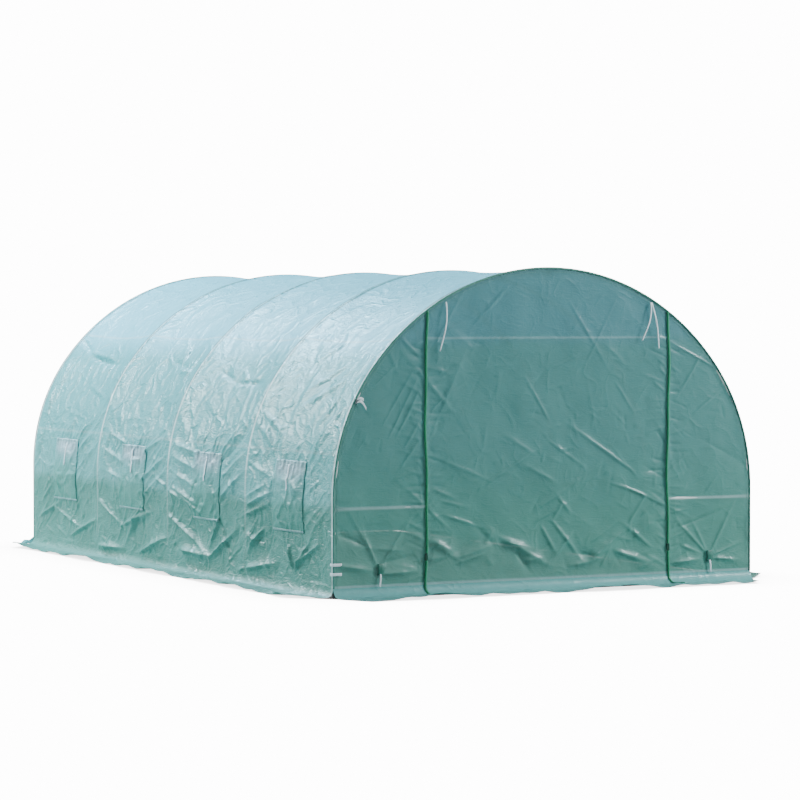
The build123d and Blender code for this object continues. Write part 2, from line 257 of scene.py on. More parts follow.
def bump(tree, height, strength, distance, **below):
    """Normal of a relief with one height in metres, on top of the relief below it."""
    inputs = {"Height": height, "Strength": strength, "Distance": distance, **below}
    return add_node(tree, "ShaderNodeBump", inputs).outputs[0]


def new_material(name):
    """Material with its node tree, its shader and its object coordinates."""
    made = bpy.data.materials.new(name)
    made.use_nodes = True
    tree = made.node_tree
    place = add_node(tree, "ShaderNodeTexCoord").outputs["Object"]
    return made, tree, tree.nodes["Principled BSDF"], place


def film_material(name, bands, backed, glow, opacity, relief):
    """Translucent woven film. The bands are heights in metres with the colour painted there: painted light
    and shade by height.
    """
    made, tree, shader, place = new_material(name)
    cut = add_node(tree, "ShaderNodeUVMap", uv_map="cut").outputs[0]
    height = add_node(tree, "ShaderNodeSeparateXYZ", {"Vector": place}).outputs["Z"]
    clouds = noise(tree, place, cloud_size, Detail=4.0)
    lift = combine(tree, "MULTIPLY_ADD", clouds, 0.1, height)
    height_ramp = add_node(tree, "ShaderNodeValToRGB", {"Fac": ranged(tree, lift, 0, 1, 0.05, 2.05)})
    stops = height_ramp.color_ramp.elements
    while len(stops) < len(bands):
        stops.new(0.5)
    for stop, (band_height, code) in zip(stops, bands):
        stop.position = band_height / 2
        stop.color = linear(code)
    colour = height_ramp.outputs["Color"]
    # The shade attribute blends in a dark green: painted shade beside the tubes and along the flap edges.
    for label, code in (("backing", backed), ("shade", groove_shade_green)):
        amount = add_node(tree, "ShaderNodeAttribute", attribute_name=label)
        colour = blend(tree, amount.outputs["Fac"], colour, linear(code))
    crinkles = []
    for turn, stretch, distortion in ((0.75, (0.45, 1.6, 1), 1.4), (-0.85, (0.35, 1.3, 1), 1.0)):
        turned = add_node(
            tree, "ShaderNodeMapping", {"Vector": cut, "Rotation": (0, 0, turn), "Scale": stretch}
        ).outputs[0]
        detail = {"Detail": 2.0, "Distortion": distortion, "Offset": 1.0}
        crinkles.append(noise(tree, turned, crinkle_size, True, **detail))
    crinkle = combine(tree, "MAXIMUM", *crinkles)
    crumple = noise(tree, cut, crumple_size, True, Detail=3.0, Distortion=0.8, Offset=1.0)
    warp, weft = [threads(tree, cut, weave_period, direction) for direction in ("X", "Y")]
    normal = bump(tree, combine(tree, "MAXIMUM", warp, weft), 0.12, 0.0006)
    normal = bump(tree, crinkle, relief, 0.0013, Normal=normal)
    normal = bump(tree, crumple, relief, 0.0044, Normal=normal)
    surface = {"Base Color": colour, "Roughness": ranged(tree, clouds, 0.27, 0.42), "Normal": normal}
    set_inputs(tree, shader, {**surface, "IOR": 1.5, "Specular IOR Level": 0.36, "Alpha": opacity})
    through = add_node(tree, "ShaderNodeBsdfTranslucent", {"Color": colour, "Normal": normal})
    mix_to(tree, "Material Output", glow, shader, through)
    return made


# Painted light and shade by height: the side and flap bands go darker and greener low down and paler and
# bluer up high. The end bands are darker all over, a painted shade copy of the side film.
side_light_and_shade_bands = [(0.0, "#72A89C"), (0.5, "#629B90"), (0.57, "#7FBBB9"), (1.4, "#65BAC0"), (1.56, "#90E4F9")]
end_shade_bands = [(0.0, "#6AA194"), (0.45, "#62998F"), (0.9, "#61938F"), (1.5, "#608F8D"), (1.58, "#618F94")]
cover_film = film_material("woven_polyethylene_film", side_light_and_shade_bands, "#F2F8F8", 0.22, 1.0, 1.0)
shaded_end_film = film_material("woven_polyethylene_end_film", end_shade_bands, "#B9D6D8", 0.22, 0.92, 0.34)
shaded_back_film = film_material("woven_polyethylene_back_film", end_shade_bands, "#B9D6D8", 0.22, 1.0, 0.34)
skirt_bands = [(0.0, "#77B7B6"), (0.2, "#77B7B6")]
skirt_film = film_material("woven_polyethylene_skirt_film", skirt_bands, "#C6E0DF", 0.2, 1.0, 0.36)
flap_light_and_shade_bands = [(0.35, "#5C9F93"), (0.52, "#68A89E"), (0.66, "#7DB9B8"), (0.85, "#82BDC0")]
flap_film = film_material("woven_polyethylene_flap_film", flap_light_and_shade_bands, "#DCE6F4", 0.22, 1.0, 0.75)
print("film weave", weave_period * 1000, "mm, drawn four times coarser than the real one so that it shows")

# %% [markdown]
# Tapes, zips, nets and tubes each get their own finish. The tapes are white woven polyester, the
# zips a green woven tape with moulded teeth, and the tubes powder-coated steel with a faint orange
# peel. Every scale comes from a thread or grain size in millimetres.


# %% Other finishes
def plain_material(name, colour, shade, grain, roughness, relief, metallic=0.0):
    """Finish with a fine grain: two close colours and a bump of the grain's size in metres."""
    made, tree, shader, place = new_material(name)
    specks = noise(tree, place, grain, Detail=3.0)
    patches = noise(tree, place, grain * 25)
    surface = {
        "Base Color": blend(tree, patches, linear(colour), linear(shade)),
        "Roughness": ranged(tree, specks, roughness - 0.08, roughness + 0.08),
        "Normal": bump(tree, specks, 0.4, relief),
        "Metallic": metallic,
    }
    set_inputs(tree, shader, surface)
    return made


def woven_material(name, colour, shade, thread, roughness):
    """Woven tape: crossed threads of one width in metres."""
    made, tree, shader, place = new_material(name)
    across, along = [threads(tree, place, thread, direction) for direction in ("X", "Z")]
    crossed = combine(tree, "MULTIPLY", across, along)
    surface = {
        "Base Color": blend(tree, crossed, linear(shade), linear(colour)),
        "Normal": bump(tree, crossed, 0.5, thread / 4),
        "Roughness": roughness,
        "Sheen Weight": 0.2,
    }
    set_inputs(tree, shader, surface)
    return made


painted_tube = plain_material("powder_coated_steel", "#DDE3E3", "#CBD3D4", 0.0015, 0.38, 0.0002)
steel_fitting = plain_material("galvanised_steel", "#9AA3A6", "#7F898C", 0.004, 0.45, 0.0002, 0.6)
foot_steel = plain_material("dark_zinc_steel", "#5B6467", "#43494C", 0.004, 0.5, 0.0003, 0.6)
slider_enamel = plain_material("green_enamelled_zinc", "#0F4A3A", "#0A3328", 0.001, 0.35, 0.0001)
tooth_nylon = plain_material("green_moulded_nylon", "#177F5B", "#126A4C", 0.002, 0.4, 0.0001)
zip_tape = woven_material("green_woven_polyester", "#1FA276", "#138058", 0.004, 0.7)
white_tape = woven_material("white_woven_polyester", "#FFFFFF", "#E2E5F0", 0.003, 0.75)
net_mesh = woven_material("white_knitted_net", "#D5DEE6", "#9FB4BC", 0.006, 0.8)
edge_binding = woven_material("green_bound_edge", "#5F968B", "#39776B", 0.005, 0.6)
tab_film = woven_material("doubled_green_film", "#2C8272", "#1C5F53", 0.006, 0.45)
green_thread = plain_material("green_polyester_thread", "#7FB0A8", "#6A9C94", 0.002, 0.6, 0.0001)

tube_nodes = [f"{name}_{part}" for name in hoop_names for part in ("legs", "arch")]
tube_nodes += ["ridge_rails", "side_rails", "base_rails", "end_base_rails", "front_door_posts"]
tube_nodes += ["back_end_posts", "end_side_bars"]
finishes = {name: painted_tube for name in tube_nodes}
finishes.update(ridge_fittings=steel_fitting, side_fittings=steel_fitting, foot_fittings=foot_steel)
finishes.update(zip_sliders=slider_enamel)
for name, finish in finishes.items():
    nodes[name].data.materials.clear()
    nodes[name].data.materials.append(finish)
print("steel pieces finished:", len(finishes))

# %% [markdown]
# All the film pieces are grids: rows of points pushed in and out along the surface. One function
# turns such a grid into a mesh, with its cut size as a UV map so that the weave follows the film.


# %% Sheets from grids
def sheet_mesh(name, points, cut, finish, backing=None, flip=False, holes=None, shade=None):
    """Mesh of a grid of points, with the flat cut as a UV map in metres."""
    rows, columns = points.shape[:2]
    number = np.arange(rows * columns).reshape(rows, columns)
    corners = [number[:-1, :-1], number[:-1, 1:], number[1:, 1:], number[1:, :-1]]
    quads = np.stack(corners, -1).reshape(-1, 4)
    if holes is not None:
        quads = quads[~holes.reshape(-1)]
    if flip:
        quads = quads[:, ::-1]
    data = bpy.data.meshes.new(name)
    data.from_pydata(points.reshape(-1, 3).tolist(), [], quads.tolist())
    data.shade_smooth()
    corner = np.zeros(len(data.loops), np.int32)
    data.loops.foreach_get("vertex_index", corner)
    uv = data.uv_layers.new(name="cut")
    uv.data.foreach_set("uv", cut.reshape(-1, 2)[corner].astype(np.float32).ravel())
    for label, amount in (("backing", backing), ("shade", shade)):
        value = data.attributes.new(label, "FLOAT", "POINT")
        if amount is not None:
            value.data.foreach_set("value", amount.reshape(-1).astype(np.float32))
    data.materials.append(finish)
    return new_piece(name, data)


def crease_field(across, along, creases):
    """Sum of folds over a grid. Each fold is two ends, a width and a height, sharp along its middle."""
    total = np.zeros(across.shape)
    for start_a, start_b, end_a, end_b, width, height, fade in creases:
        reach = width * 4
        near = (across > min(start_a, end_a) - reach) & (across < max(start_a, end_a) + reach)
        near &= (along > min(start_b, end_b) - reach) & (along < max(start_b, end_b) + reach)
        if not near.any():
            continue
        run_a, run_b = end_a - start_a, end_b - start_b
        length = math.hypot(run_a, run_b)
        gap_a, gap_b = across[near] - start_a, along[near] - start_b
        share = (gap_a * run_a + gap_b * run_b) / length**2
        aside = np.abs(gap_a * run_b - gap_b * run_a) / length
        taper = np.clip(np.minimum(share * 4 + fade, (1 - share) * 2), 0, 1)
        spread = width * (0.6 + 0.8 * np.clip(share, 0, 1))
        total[near] += height * taper * np.exp(-((aside / spread) ** 1.2))
    return total


def nearest(values, places):
    """Distance from each value to the nearest of some places."""
    return np.abs(values[..., None] - places).min(-1)


def stripe(values, middle, half):
    """Band of 1 round a value, with soft sides."""
    return np.exp(-(((values - middle) / half) ** 4))


# %% [markdown]
# Each long side is two sheets, sewn together along the wall seam. The lower one takes in the ground
# skirt, and the upper one runs on to the ridge. A distance along the film gives the point on their
# outline: the skirt on the ground, a quarter bend, the upright wall, the haunch arc and the flatter
# crown arc that meets it at 36.87 degrees.

# %% Outline of the side
haunch_turn = math.radians(36.87)
bend_radius = 0.06
rise = ridge_height - leg_height
centre_gap = (half_width - rise) / (math.sin(haunch_turn) + math.cos(haunch_turn) - 1)
haunch_radius = half_width - centre_gap * math.cos(haunch_turn)
crown_radius = rise + centre_gap * math.sin(haunch_turn)
haunch_x = half_width - haunch_radius
crown_z = ridge_height - crown_radius
bend_run = bend_radius * math.pi / 2
skirt_run = bend_run + skirt_reach - bend_radius
leg_run = leg_height - foot_height
haunch_run = leg_run + haunch_radius * haunch_turn
side_run = haunch_run + crown_radius * (math.pi / 2 - haunch_turn)


def side_outline(run):
    """Place across, height and outward direction for distances along the film from the wall's foot."""
    bend = np.clip(-run / bend_radius, 0, math.pi / 2)
    haunch = np.clip((run - leg_run) / haunch_radius, 0, haunch_turn)
    crown = haunch_turn + np.clip((run - haunch_run) / crown_radius, 0, math.pi / 2)
    flat = np.clip(-run - bend_run, 0, None)
    on_skirt, on_leg, on_haunch = run < 0, run < leg_run, run < haunch_run
    x = np.where(on_haunch, haunch_x + haunch_radius * np.cos(haunch), crown_radius * np.cos(crown))
    x = np.where(on_leg, half_width, x)
    x = np.where(on_skirt, half_width + bend_radius * (1 - np.cos(bend)) + flat, x)
    haunch_z = leg_height + haunch_radius * np.sin(haunch)
    z = np.where(on_haunch, haunch_z, crown_z + crown_radius * np.sin(crown))
    z = np.where(on_leg, foot_height + run, z)
    z = np.where(on_skirt, foot_height - bend_radius * np.sin(bend), z)
    tilt = np.where(on_skirt, bend, np.where(on_leg, 0, np.where(on_haunch, haunch, crown)))
    return x, z, np.cos(tilt), np.sin(tilt)


print("film from foot to ridge", round(side_run, 3), "m, skirt", round(skirt_run, 3), "m")

# %% [markdown]
# Between two hoops the film hangs slack, so it dips inwards and the ridge line is scalloped. It can't
# pass the side rail or the ridge rail, so the dip fades there. On top of that come folds: long ones
# that run from the window corners to the hoops, upright ones over the lower wall, and many small ones.

# %% Folds of the sides
ridge_sag = 0.024
roof_sag = 0.034
wall_sag = 0.016
tube_radius = 0.0125
rail_run = rail_height + tube_radius - foot_height
window_ys = (hoop_ys[:-1] + hoop_ys[1:]) / 2
bay = hoop_ys[1] - hoop_ys[0]
flap_half = (flap_high.y - flap_low.y - 3 * bay) / 2
window_half = (window_high.y - window_low.y - 3 * bay) / 2
flap_foot_run = flap_low.z - foot_height
flap_head_run = leg_run + haunch_radius * math.asin((flap_high.z - leg_height) / haunch_radius)


def sag(run, y):
    """How far the slack film hangs inwards between the hoops."""
    share = np.clip((y - hoop_ys[0]) / bay, 0, len(window_ys) - 1e-6) % 1
    dip = 4 * share * (1 - share)
    knots = [-0.01, 0, 0.22, rail_run - 0.06, rail_run, rail_run + 0.1]
    knots += [haunch_run, side_run - 0.5, side_run]
    depths = [0, 0.002, wall_sag, 0.003, 0.001, wall_sag * 0.6, roof_sag, roof_sag, ridge_sag]
    return dip * np.interp(run, knots, depths)


def soft_waves(across, along, seed, height):
    """Low random swell over a grid, from plane waves."""
    draw = np.random.default_rng(seed + 200)
    total = np.zeros(across.shape)
    for _ in range(26):
        length = draw.uniform(0.16, 0.6)
        angle = draw.uniform(0, 2 * math.pi)
        phase = (across * math.cos(angle) + along * math.sin(angle)) * 2 * math.pi / length
        total += length * np.sin(phase + draw.uniform(0, 2 * math.pi))
    return total * height


# Each long fold: its two ends as distance up the film and place along the tunnel, then its width and
# height in millimetres.
long_side_folds = [
    (1.55, 2.43, 1.4, 2.01, 12, -22), (1.41, 2.04, 1.34, 1.43, 14, -25), (1.46, 2.18, 1.39, 1.54, 16, 22),
    (1.39, 2.41, 1.17, 2.33, 9, 11), (1.39, 2.27, 1.17, 2.21, 9, 11), (1.38, 2.14, 1.13, 2.07, 9, 11),
    (1.38, 2.0, 1.15, 1.93, 9, 11), (1.38, 1.87, 1.17, 1.8, 9, 11), (1.37, 1.74, 1.19, 1.67, 9, 11),
    (1.37, 1.61, 1.21, 1.55, 9, 11), (1.37, 1.48, 1.15, 1.42, 9, 11), (1.12, 2.4, 0.9, 2.36, 12, 14),
    (1.17, 1.78, 1.06, 1.34, 14, 14), (0.77, 1.66, 0.93, 1.46, 14, 12), (0.66, 1.65, 0.82, 1.4, 14, 11),
    (1.57, 0.46, 1.37, 0.35, 14, -16), (1.32, 0.33, 1.29, 0.01, 14, 16), (1.4, 0.56, 1.32, 0.12, 14, -14),
    (0.76, 0.81, 0.85, 1.2, 15, 15), (0.62, 0.78, 0.72, 1.21, 15, 15), (0.5, 0.77, 0.58, 1.23, 15, 12),
    (0.71, 0.44, 0.85, 0.04, 17, 16), (0.52, 0.44, 0.72, 0.0, 17, 16), (0.41, 0.42, 0.61, 0.0, 17, 14),
    (1.33, -0.33, 1.25, -0.65, 16, -18), (1.25, -0.64, 1.25, -1.13, 14, -22),
    (1.22, -0.78, 1.31, -0.99, 20, 14), (0.76, -0.82, 1.01, -1.12, 22, 15),
    (0.71, -0.9, 0.98, -1.26, 18, -7), (0.58, -0.86, 0.81, -1.26, 17, 16),
    (0.44, -0.84, 0.68, -1.26, 17, 15), (0.74, -0.42, 0.79, -0.03, 17, 19),
    (0.63, -0.44, 0.71, -0.03, 19, 19), (0.52, -0.45, 0.61, -0.02, 19, 18), (0.4, -0.48, 0.52, 0.0, 17, 21),
    (1.59, -1.82, 1.4, -1.57, 16, 13), (1.41, -2.08, 1.15, -1.67, 18, 16),
    (1.3, -2.21, 1.05, -1.71, 18, 16), (1.18, -2.27, 0.92, -2.09, 22, 14), (1.1, -2.4, 0.84, -2.21, 22, 14),
    (1.01, -2.29, 0.75, -2.1, 20, 14), (0.98, -1.26, 0.8, -1.66, 20, 14),
    (1.05, -1.32, 0.88, -1.73, 18, 16), (0.71, -1.29, 0.62, -1.67, 15, 12),
    (0.43, -1.26, 0.55, -1.67, 17, 27), (0.36, -1.2, 0.48, -1.67, 17, 25),
    (0.49, -1.26, 0.62, -1.67, 14, 14), (0.16, 2.36, 0.33, 1.85, 15, 20), (0.24, 2.08, 0.1, 1.48, 15, 22),
    (0.28, 2.31, 0.44, 2.07, 14, 15), (0.06, 1.74, 0.25, 1.09, 15, 20), (0.34, 1.22, 0.15, 0.72, 17, 21),
    (0.19, 0.78, 0.32, 0.23, 17, 22), (0.33, 0.46, 0.05, 0.76, 17, 22), (0.55, 0.2, 0.33, -0.51, 15, 22),
    (0.34, 0.06, 0.06, -0.71, 15, 25), (0.44, -0.23, 0.29, -0.73, 15, 21),
    (0.09, -0.23, 0.07, -0.79, 29, 42), (0.08, -0.73, 0.3, -1.16, 19, 25),
    (0.33, -0.84, 0.1, -0.66, 15, 21), (0.31, -1.16, 0.17, -1.53, 15, 21), (0.3, -1.5, 0.1, -1.22, 15, 21),
    (0.08, -1.93, 0.29, -1.82, 15, 22), (0.08, -1.96, 0.32, -2.23, 15, 22),
    (0.12, -1.99, 0.27, -2.35, 15, 22), (0.02, 0.47, 0.17, -0.06, 22, 28), (0.02, 1.22, 0.03, 0.65, 22, 27),
    (0.02, -1.16, 0.11, -1.77, 22, 27),
]


def side_creases(seed):
    """Folds of one side: from window corners, over the lower wall, and small ones all over."""
    draw = np.random.default_rng(seed)
    folds = []
    for *ends, width, height in long_side_folds:
        folds.append((*ends, width / 1000, height / 1000, 0.4))
    for number, y in enumerate(window_ys):
        for turn, hoop in ((-1, hoop_ys[number]), (1, hoop_ys[number + 1])):
            edge = y + turn * flap_half
            for lift in np.linspace(0.05, 0.95, 5):
                start = flap_foot_run + lift * (flap_head_run - flap_foot_run)
                end = start + draw.uniform(0.22, 0.46)
                height = draw.uniform(0.003, 0.008)
                folds.append((start, edge, end, hoop, draw.uniform(0.012, 0.02), height, 0.5))
        for _ in range(4):
            place = y + draw.uniform(-1.2, 1.2) * flap_half
            lean = draw.uniform(-0.4, 0.4)
            height = draw.choice([-1, 1]) * draw.uniform(0.004, 0.009)
            folds.append((flap_foot_run, place, 0.01, place + lean, draw.uniform(0.01, 0.018), height, 0.6))
        for _ in range(8):
            place = y + draw.uniform(-0.5, 0.5) * bay
            low = draw.uniform(0.01, 0.36)
            lean = draw.uniform(0.12, 0.4) * draw.choice([-1, 1])
            height = draw.uniform(0.003, 0.008)
            end = low + draw.uniform(0.1, 0.3) * draw.choice([-1, 1])
            folds.append((low, place, max(end, 0.0), place + lean, draw.uniform(0.009, 0.016), height, 0.3))
        for _ in range(10):
            place = y + draw.uniform(-0.45, 0.45) * bay
            low = flap_head_run + draw.uniform(0, 0.9)
            lean = draw.uniform(-0.3, 0.3)
            height = draw.choice([-1, 1]) * draw.uniform(0.002, 0.006)
            width = draw.uniform(0.011, 0.024)
            folds.append((low, place, low + draw.uniform(0.15, 0.55), place + lean, width, height, 0.3))
        for _ in range(9):
            place = y + draw.uniform(-1, 1) * flap_half
            lean = 0.6 * (place - y)
            height = draw.uniform(0.003, 0.007)
            top = flap_head_run + draw.uniform(0.08, 0.3)
            folds.append((flap_head_run, place, top, place + lean, draw.uniform(0.008, 0.014), height, 1))
    for _ in range(560):
        low = draw.uniform(-0.02, 1.0) * (1.0 if draw.random() < 0.75 else 2.2)
        place = draw.uniform(-half_length, half_length)
        angle = draw.normal(0, 0.7) + (0.9 if draw.random() < 0.5 else -0.9) * (low < 0.8)
        length = draw.uniform(0.06, 0.28)
        height = draw.choice([-1, 1]) * draw.uniform(0.001, 0.004)
        height *= np.interp(low, [0.6, 0.8, 1.3], [1.7, 1, 0.6])
        end = (low + length * math.cos(angle), place + length * math.sin(angle))
        folds.append((low, place, *end, draw.uniform(0.008, 0.016), height, 0.3))
    return folds


# %% [markdown]
# The skirt is the same film, loose on the ground: it rises in low waves, and its cut edge is uneven.
# The same rows of points make it, so there is no seam where the wall turns outwards.


# %% Cover of both long sides
def skirt_waves(run, y, seed):
    """Height of the loose skirt above the ground and how uneven its edge is."""
    draw = np.random.default_rng(seed + 50)
    out = np.clip((-run - bend_run * 0.5) / skirt_run, 0, 1)
    wave = np.zeros(run.shape)
    for length in (1.3, 0.7, 0.37, 0.21):
        wave += length**0.6 * np.sin(2 * math.pi * y / length + draw.uniform(0, 2 * math.pi))
    return out * 0.012 * (wave + 1.6), out**2 * 0.014 * wave


def along_places(spacing):
    """Places along the tunnel, closer together where the film bends over a hoop."""
    near = np.array([0, 0.006, 0.012, 0.019, 0.03])
    middle_count = round((bay - 2 * near[-1]) / spacing)
    places = []
    for low, high in zip(hoop_ys[:-1], hoop_ys[1:]):
        middle = np.linspace(low + near[-1], high - near[-1], middle_count)
        places += [low + near[:-1], middle, (high - near[:-1])[::-1][:-1]]
    ends = [np.array([-half_length]), *places, np.array([hoop_ys[-1], half_length])]
    return np.concatenate(ends)


def film_push(run, y, folds, seed):
    """Distance that the side film stands out from its outline, less where a hoop holds it."""
    hoop_gap = nearest(y, hoop_ys)
    free = 1 - np.exp(-((hoop_gap / 0.035) ** 2))
    ridge_free = np.clip((side_run - run) / 0.15, 0.1, 1)
    folded = crease_field(run, y, folds) + soft_waves(run, y, seed, 0.0016)
    push = folded * free * ridge_free - sag(run, y)
    for rail in (0.0, rail_run):
        push = np.maximum(push, -0.001 - 0.5 * np.clip(np.abs(run - rail) - 0.014, 0, None))
    return push


def place_side(run, y, push, side):
    """Points of the film on one long side."""
    x, z, out_x, out_z = side_outline(run)
    return np.stack([side * (x + push * out_x), y, z + push * out_z], -1)


def side_cover(name, side, seed, folds, upward, spacing):
    """Part of the cover of one long side, with the windows cut out, over a row of heights up the film."""
    run, y = np.meshgrid(upward, along_places(spacing), indexing="ij")
    push = film_push(run, y, folds, seed)
    lift, edge = skirt_waves(run, y, seed)
    push = np.where(run < 0, np.maximum(push * np.clip(1 + run / 0.05, 0, 1), 0) + lift, push)
    hoop_gap = nearest(y, hoop_ys)
    on_hoop = stripe(hoop_gap, 0, tube_radius)
    backing = on_hoop * np.interp(run, [0, 0.45, 0.75, 1.3, 1.7, 1.9], [0, 0.25, 0.95, 0.95, 0.5, 0.1])
    front_line = on_hoop * (y < hoop_ys[0] + bay / 2)
    backing = np.maximum(backing, front_line * np.interp(run, [0, 0.3, 2.1, 2.45], [0.4, 0.95, 0.95, 0]))
    # Painted shade: a dark line beside each hoop, where the film dips, stronger up the haunch and roof.
    groove_width = np.interp(run, [1.2, 1.8], [0.0105, 0.014])
    groove = np.exp(-(((hoop_gap - 0.02) / groove_width) ** 2))
    shade = groove * np.interp(run, [0.7, 1.2, 1.7, side_run], [0, 0.45, 0.9, 1])
    for seam, amount in ((wall_seam_run, 0.18), (roof_seam_run, 0.42)):
        backing = np.maximum(backing, amount * stripe(run, seam, 0.009))
    mitre = np.clip(-run - bend_run * 0.6, 0, None)
    y_cut = y * (1 - mitre / half_length)
    points = place_side(run - edge * (run < -bend_run), y_cut, push, side)
    points[..., 2] = np.maximum(points[..., 2], 0.0005)
    centre_run = (run[:-1, :-1] + run[1:, 1:]) / 2
    centre_y = (y[:-1, :-1] + y[1:, 1:]) / 2
    in_window = nearest(centre_y, window_ys) < window_half
    in_window &= (centre_run > window_low.z - foot_height) & (centre_run < flap_head_run - 0.03)
    cut = np.stack([y, run], -1)
    return sheet_mesh(name, points, cut, cover_film, backing, side < 0, in_window, shade)


wall_seam_height = 0.87
roof_seam_height = 1.56
wall_seam_run = leg_run + haunch_radius * math.asin((wall_seam_height - leg_height) / haunch_radius)
roof_seam_turn = math.asin((roof_seam_height - crown_z) / crown_radius)
roof_seam_run = haunch_run + crown_radius * (roof_seam_turn - haunch_turn)
sides = {"left": -1, "right": 1}
side_seeds = {"left": 11, "right": 12}
side_folds = {side_name: side_creases(seed) for side_name, seed in side_seeds.items()}
side_spacings = {"left": (0.0075, 0.0145, 0.009), "right": (0.012, 0.018, 0.0135)}
for side_name, side in sides.items():
    low_step, high_step, along_step = side_spacings[side_name]
    skirt_rows = np.linspace(-skirt_run, 0, 24)[:-1]
    wall_rows = np.linspace(0, wall_seam_run, round(wall_seam_run / low_step))
    roof_rows = np.linspace(wall_seam_run, side_run, round((side_run - wall_seam_run) / high_step))
    parts = {
        "lower": (np.concatenate([skirt_rows, wall_rows]), ("wall_cover", "skirt")),
        "upper": (roof_rows, ("haunch_cover", "roof_cover")),
    }
    for part_name, (upward, replaced) in parts.items():
        name = f"{side_name}_{part_name}_cover_film"
        cover = side_cover(name, side, side_seeds[side_name], side_folds[side_name], upward, along_step)
        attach(cover, "root")
        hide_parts(*[f"{side_name}_{part}" for part in replaced])
        print(cover.name, len(cover.data.polygons), "faces")

# %% [markdown]
# The door end is flat film in three parts: a door panel between two zips, and a panel each side. The
# rows of points run from the foot up to the arch, so the top edge follows the hoop. Folds fan out
# from the two tied tabs near the ground, and small puckers line the zips.

# %% Ends
tab_x = (zip_x + half_width) / 2
tab_height = 0.19
door_seam_height = 1.565


def arch_height(x):
    """Height of the outline at a place across the tunnel."""
    shoulder = haunch_x + haunch_radius * math.cos(haunch_turn)
    on_crown = crown_z + np.sqrt(np.clip(crown_radius**2 - x**2, 0, None))
    on_haunch = leg_height + np.sqrt(np.clip(haunch_radius**2 - (np.abs(x) - haunch_x) ** 2, 0, None))
    return np.where(np.abs(x) < shoulder, on_crown, on_haunch)


def zip_wander(z, side):
    """How far a zip strays from a straight line, sideways."""
    return 0.006 * np.sin(z * 5.1 + side) + 0.003 * np.sin(z * 13.0 + 2 * side)


# The long folds of the door end: two ends as place across and height, then width and height in
# millimetres.
long_door_folds = [
    (-1.19, 0.18, -1.43, 0.58, 9, 8), (-1.21, 0.18, -1.34, 0.5, 8, 6), (-1.18, 0.19, -0.95, 0.51, 9, 8),
    (-1.17, 0.18, -1.04, 0.37, 8, 6), (-1.48, 0.2, -1.21, 0.16, 22, 18), (-1.18, 0.14, -0.88, 0.15, 26, 20),
    (-1.11, 0.99, -0.9, 1.37, 9, 7), (-1.06, 0.99, -0.89, 1.29, 9, 7), (-1.16, 1.05, -0.92, 1.42, 8, 5),
    (-1.04, 0.78, -0.89, 0.98, 10, 7), (-1.01, 0.91, -0.89, 1.1, 9, 6), (-1.09, 0.7, -0.9, 0.78, 10, 6),
    (-0.47, 0.65, 0.01, 0.92, 8, 8), (0.01, 0.92, 0.31, 0.72, 8, 6), (-0.71, 0.7, -0.47, 0.86, 8, 5),
    (-0.81, 0.64, -0.63, 0.57, 10, 7), (-0.76, 0.57, -0.55, 0.52, 10, 7), (0.07, 0.57, 0.17, 0.46, 10, 8),
    (0.09, 0.52, 0.02, 0.42, 10, 7), (-0.08, 0.43, 0.22, 0.57, 10, 7), (0.38, 0.23, 0.68, 0.44, 8, 9),
    (0.38, 0.13, 0.45, 0.25, 10, 8), (0.32, 0.29, 0.52, 0.42, 9, 7), (-0.82, 0.33, -0.63, 0.22, 34, 22),
    (-0.65, 0.22, -0.34, 0.31, 34, 20), (-0.34, 0.31, -0.08, 0.25, 30, 20),
    (-0.34, 0.33, 0.06, 0.12, 18, 14), (-0.26, 0.29, -0.13, 0.1, 16, -14), (0.03, 0.42, 0.28, 0.12, 12, 10),
    (-0.05, 0.39, 0.06, 0.2, 12, 9), (0.16, 0.34, -0.05, 0.12, 14, 10), (0.54, 0.63, 1.11, 0.39, 8, 7),
    (0.45, 0.65, 0.83, 0.53, 8, 6), (0.05, 1.38, 0.29, 1.5, 7, 6), (-0.53, 1.65, -0.28, 1.9, 8, 7),
    (-0.42, 1.75, -0.28, 1.89, 7, 5), (-0.84, 1.27, -0.47, 1.52, 8, 4), (-0.83, 1.14, -0.53, 1.34, 8, 4),
    (0.16, 1.77, 0.49, 1.28, 10, 4), (0.49, 1.28, 0.65, 1.05, 10, 4), (-0.73, 0.48, -0.42, 0.38, 12, 9),
    (0.49, 0.22, 0.76, 0.13, 24, 16), (0.16, 0.14, 0.43, 0.19, 24, 16), (0.68, 0.44, 0.83, 0.55, 9, 7),
    (1.17, 0.18, 0.89, 0.45, 9, 8), (1.17, 0.19, 1.04, 0.42, 8, 6), (1.2, 0.19, 1.39, 0.54, 9, 9),
    (1.21, 0.17, 1.46, 0.26, 12, 10), (0.92, 0.34, 1.44, 0.51, 9, -6), (0.9, 0.13, 1.15, 0.15, 22, 16),
    (1.22, 0.15, 1.45, 0.13, 22, 14), (0.98, 0.24, 1.13, 0.18, 10, 7),
]


